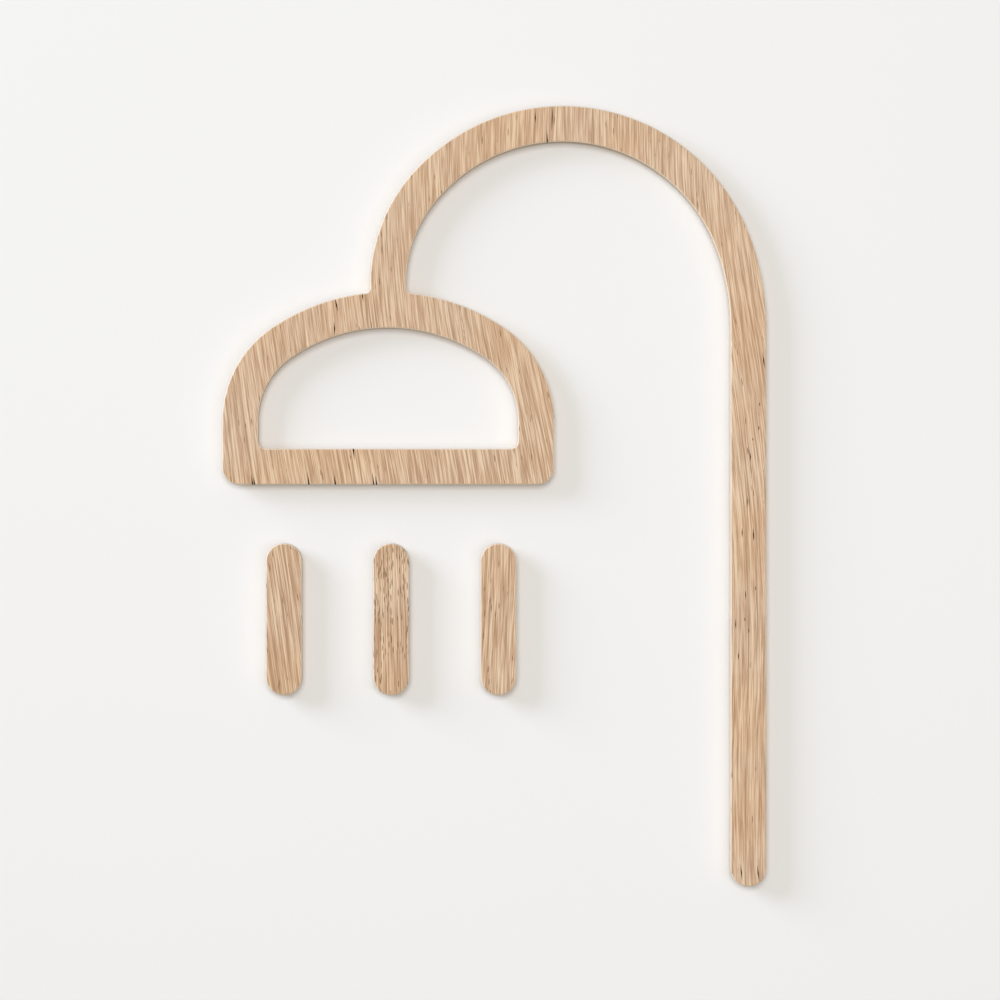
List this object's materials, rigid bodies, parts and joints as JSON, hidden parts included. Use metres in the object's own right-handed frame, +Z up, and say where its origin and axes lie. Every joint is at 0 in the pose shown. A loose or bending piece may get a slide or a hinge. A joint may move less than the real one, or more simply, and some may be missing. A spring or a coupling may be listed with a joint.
{
  "type": "shower pictogram wall sign",
  "caption": "Flat oak wall sign cut as a line drawing of a shower head on a bent riser pipe, with loose round-ended bars for the water, on foam pads.",
  "frame": {"origin": "on the wall plane, at the middle of the back of the foam strip behind the base of the shower head", "axes": "+X to the right as the sign is read, +Z up along the riser, -Y out of the wall towards the reader, so +Y points into the wall"},
  "size_m": [0.1361, 0.005, 0.1954],
  "materials": {
    "outline_oak": "bare sanded oak",
    "bar_oak": "bare sanded oak",
    "foam_tape": "closed-cell foam"
  },
  "bodies": {
    "root": {"shower_outline": "outline_oak", "water_bar_left": "bar_oak", "water_bar_middle": "bar_oak", "water_bar_right": "bar_oak", "head_base_pad": "foam_tape", "head_crown_pad": "foam_tape", "arch_left_pad": "foam_tape", "arch_top_pad": "foam_tape", "arch_right_pad": "foam_tape", "riser_upper_pad": "foam_tape", "riser_middle_pad": "foam_tape", "riser_lower_pad": "foam_tape", "bar_left_pad": "foam_tape", "bar_middle_pad": "foam_tape", "bar_right_pad": "foam_tape"}
  },
  "joints": []
}
